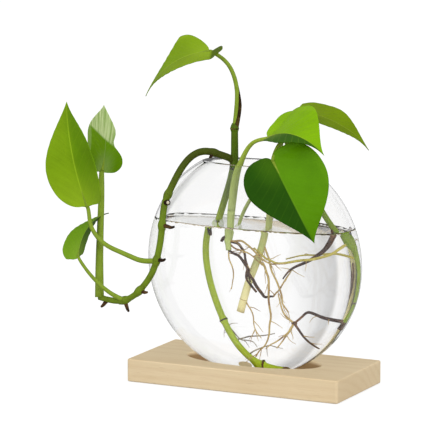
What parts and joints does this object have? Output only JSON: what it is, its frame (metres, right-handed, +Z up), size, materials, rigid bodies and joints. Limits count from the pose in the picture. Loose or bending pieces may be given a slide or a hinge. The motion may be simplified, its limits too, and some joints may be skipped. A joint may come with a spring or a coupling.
{
  "type": "propagation vase",
  "caption": "Flattened round clear-glass vase standing in the oval recess of a pale wooden block, holding leafy plant cuttings that root in water.",
  "frame": {"origin": "middle of the wooden block's underside", "axes": "+Z up, +X along the block and across the round face of the glass, -Y towards the viewer"},
  "size_m": [0.1842, 0.0787, 0.1956],
  "materials": {
    "wood": "fine sanded, unvarnished",
    "glass": "clear blown glass",
    "stem": "smooth green stem",
    "leaf": "waxy green leaf",
    "root": "wet brown root",
    "dry_stub": "dry and papery"
  },
  "bodies": {
    "base": {"wooden_base": "wood"},
    "vase": {"glass_vase": "glass", "trailing_stem": "stem", "trailing_stubs": "dry_stub", "trailing_roots": "root", "upright_leaf": "leaf", "upright_sheath": "dry_stub", "large_side_leaf": "leaf", "rear_side_leaf": "leaf", "small_side_leaf": "leaf", "bowed_stem": "stem", "hanging_leaf": "leaf", "bowed_roots": "root"},
    "front_cutting": {"front_stem": "stem", "front_leaf": "leaf", "front_roots": "root"},
    "back_cutting": {"back_stem": "stem", "back_leaf": "leaf", "back_aerial_root": "root", "back_roots": "root"}
  },
  "joints": [
    {"name": "vase_lift", "type": "slide", "parent": "base", "child": "vase", "axis": [0, 0, 1], "range_m": [0, 0.03]},
    {"name": "front_cutting_lift", "type": "slide", "parent": "vase", "child": "front_cutting", "axis": [0, 0, 1], "range_m": [0, 0.11]},
    {"name": "back_cutting_lift", "type": "slide", "parent": "vase", "child": "back_cutting", "axis": [0, 0, 1], "range_m": [0, 0.125]}
  ]
}
